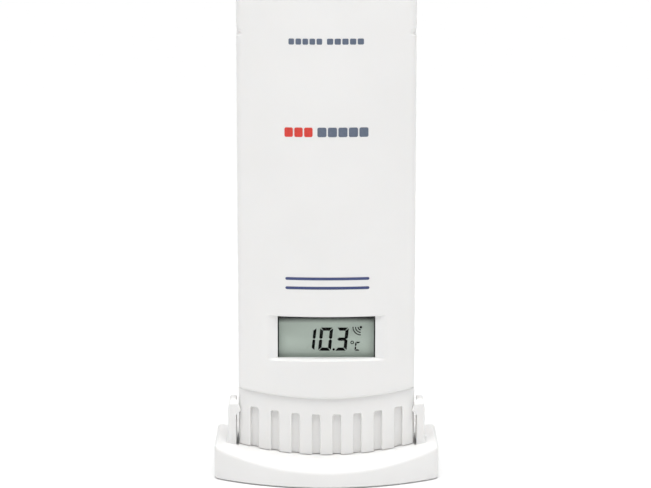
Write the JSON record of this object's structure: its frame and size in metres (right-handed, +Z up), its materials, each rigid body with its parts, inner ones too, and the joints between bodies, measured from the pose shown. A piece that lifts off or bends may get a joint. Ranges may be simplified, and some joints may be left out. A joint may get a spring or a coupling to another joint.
{
  "type": "wireless outdoor thermometer sensor",
  "caption": "Slim white remote temperature sensor with a small display and a fluted vent skirt, clipped into a low arched stand that also serves as its wall bracket.",
  "frame": {"origin": "middle of the stand's underside", "axes": "+Z up along the case, -Y towards the viewer and the display, +X to the viewer's right"},
  "size_m": [0.048, 0.0346, 0.1331],
  "materials": {
    "white_plastic": "satin moulded",
    "clear_window": "polished clear acrylic",
    "display_glass": "grey-green liquid crystal",
    "contact_rubber": "matte",
    "board": "green solder mask",
    "black_plastic": "moulded",
    "grey_button": "satin",
    "cell_jacket": null,
    "red_insulation": "wire insulation",
    "copper": "bare wire",
    "nickel_steel": "nickel plated"
  },
  "bodies": {
    "stand": {"stand": "white_plastic"},
    "case": {"front_cover": "white_plastic", "vent_skirt": "white_plastic", "rear_shell": "white_plastic", "display_window": "clear_window", "lcd_glass": "display_glass", "contact_strip_upper": "contact_rubber", "contact_strip_lower": "contact_rubber", "lcd_frame": "white_plastic", "circuit_board": "board", "controller_chip": "black_plastic", "radio_board": "board", "radio_shield": "nickel_steel", "crystal": "nickel_steel", "buffer_capacitor": "black_plastic", "antenna_coil": "copper", "thermistor_bead": "black_plastic", "thermistor_lead_left": "nickel_steel", "thermistor_lead_right": "nickel_steel", "transmit_switch": "black_plastic", "battery_left": "cell_jacket", "battery_right": "cell_jacket", "negative_terminal": "nickel_steel", "positive_terminal": "nickel_steel", "bridge_contact": "nickel_steel", "spring_left": "nickel_steel", "spring_right": "nickel_steel", "black_lead": "black_plastic", "red_lead": "red_insulation", "case_screw_upper_left": "nickel_steel", "case_screw_upper_right": "nickel_steel", "case_screw_lower_left": "nickel_steel", "case_screw_lower_right": "nickel_steel", "board_screw_lower_left": "nickel_steel", "board_screw_lower_right": "nickel_steel", "board_screw_upper_left": "nickel_steel", "board_screw_upper_right": "nickel_steel"},
    "battery_door": {"battery_door": "white_plastic"},
    "transmit_button": {"transmit_button": "grey_button"}
  },
  "joints": [
    {"name": "case_lift", "type": "slide", "parent": "stand", "child": "case", "axis": [0, 0, 1], "range_m": [0, 0.03]},
    {"name": "door_slide", "type": "slide", "parent": "case", "child": "battery_door", "axis": [0, 0, 1], "range_m": [0, 0.06]},
    {"name": "button_press", "type": "slide", "parent": "case", "child": "transmit_button", "axis": [0, -1, 0], "range_m": [0, 0.0008], "stiffness_N_per_m": 1500, "springref_m": -0.0003}
  ]
}
